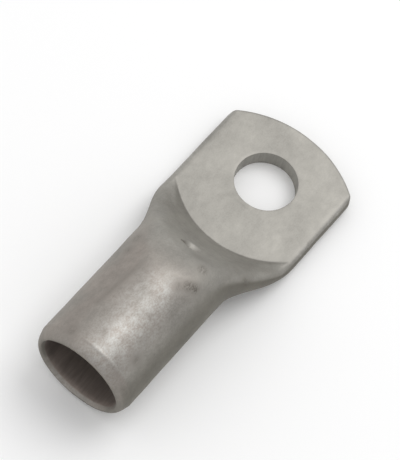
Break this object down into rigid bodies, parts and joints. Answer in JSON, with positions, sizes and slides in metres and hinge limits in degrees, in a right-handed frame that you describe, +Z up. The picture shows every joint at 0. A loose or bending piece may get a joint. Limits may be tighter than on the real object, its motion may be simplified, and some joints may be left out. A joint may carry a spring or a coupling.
{
  "type": "cable lug",
  "caption": "Tubular crimp lug of tinned copper: a round barrel for a stranded cable, pressed flat into a palm with one stud hole.",
  "frame": {"origin": "middle of the stud hole, on the contact face under the palm", "axes": "+X along the palm away from the barrel, +Y across the palm, +Z up out of the palm along the stud"},
  "size_m": [0.0745, 0.0314, 0.022],
  "materials": {
    "tinned_copper": "satin tin plating over copper, tumbled"
  },
  "bodies": {
    "root": {"cable_lug": "tinned_copper"}
  },
  "joints": []
}
